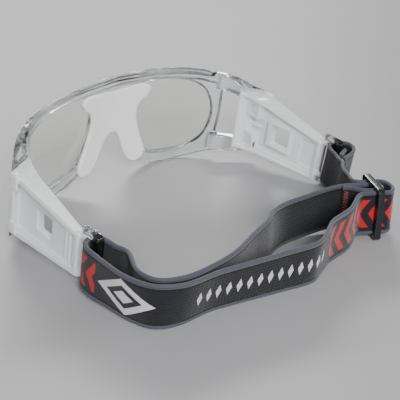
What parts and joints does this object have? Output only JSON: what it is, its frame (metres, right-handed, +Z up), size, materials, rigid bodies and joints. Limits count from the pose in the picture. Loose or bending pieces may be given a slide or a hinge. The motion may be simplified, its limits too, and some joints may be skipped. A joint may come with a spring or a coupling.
{
  "type": "sports protective goggles",
  "caption": "Clear wrap-round sports protective goggles with frosted side plates, a soft nose piece, swivelling strap loops and an elastic webbing head strap adjusted by a three-bar slider.",
  "frame": {"origin": "middle of the bounding box at the level of the surface that the goggles lie on", "axes": "+X to the wearer's right, +Y forward out of the lenses, +Z up"},
  "size_m": [0.1649, 0.1416, 0.0565],
  "materials": {
    "clear_plastic": "glossy clear polycarbonate",
    "lens_plastic": "polished clear polycarbonate with a faint warm tint",
    "frosted_plastic": "frosted translucent",
    "silicone": "milky silicone",
    "webbing": "woven elastic webbing with a lighter rolled edge",
    "stitching": "bonded thread",
    "black_plastic": "satin",
    "pin_steel": "drawn wire"
  },
  "bodies": {
    "goggles": {"front_frame": "clear_plastic", "lens_left": "lens_plastic", "lens_right": "lens_plastic", "nose_piece": "silicone", "side_plate_left": "frosted_plastic", "side_plate_right": "frosted_plastic", "loop_pin_left": "pin_steel", "loop_pin_right": "pin_steel", "strap_outer_run": "webbing", "strap_inner_run": "webbing", "strap_lead": "webbing"},
    "loop_left": {"strap_loop_left": "clear_plastic", "strap_left_turn": "webbing"},
    "loop_right": {"strap_loop_right": "clear_plastic", "strap_right_loop": "webbing", "strap_right_tail": "webbing", "stitch_right": "stitching"},
    "slider": {"slider": "black_plastic", "strap_hairpin": "webbing", "strap_slider_loop": "webbing", "stitch_slider": "stitching"}
  },
  "joints": [
    {"name": "loop_right_swivel", "type": "hinge", "parent": "goggles", "child": "loop_right", "pos_m": [0.0743, -0.00835, 0.01355], "axis": [0, -0.1564, 0.9877], "range_deg": [-20, 20]},
    {"name": "loop_left_swivel", "type": "hinge", "parent": "goggles", "child": "loop_left", "pos_m": [-0.0743, -0.00835, 0.01355], "axis": [0, -0.1564, 0.9877], "range_deg": [-20, 20]},
    {"name": "slider_slide", "type": "slide", "parent": "goggles", "child": "slider", "axis": [0.8192, -0.5736, 0], "range_m": [0, 0.003]}
  ]
}
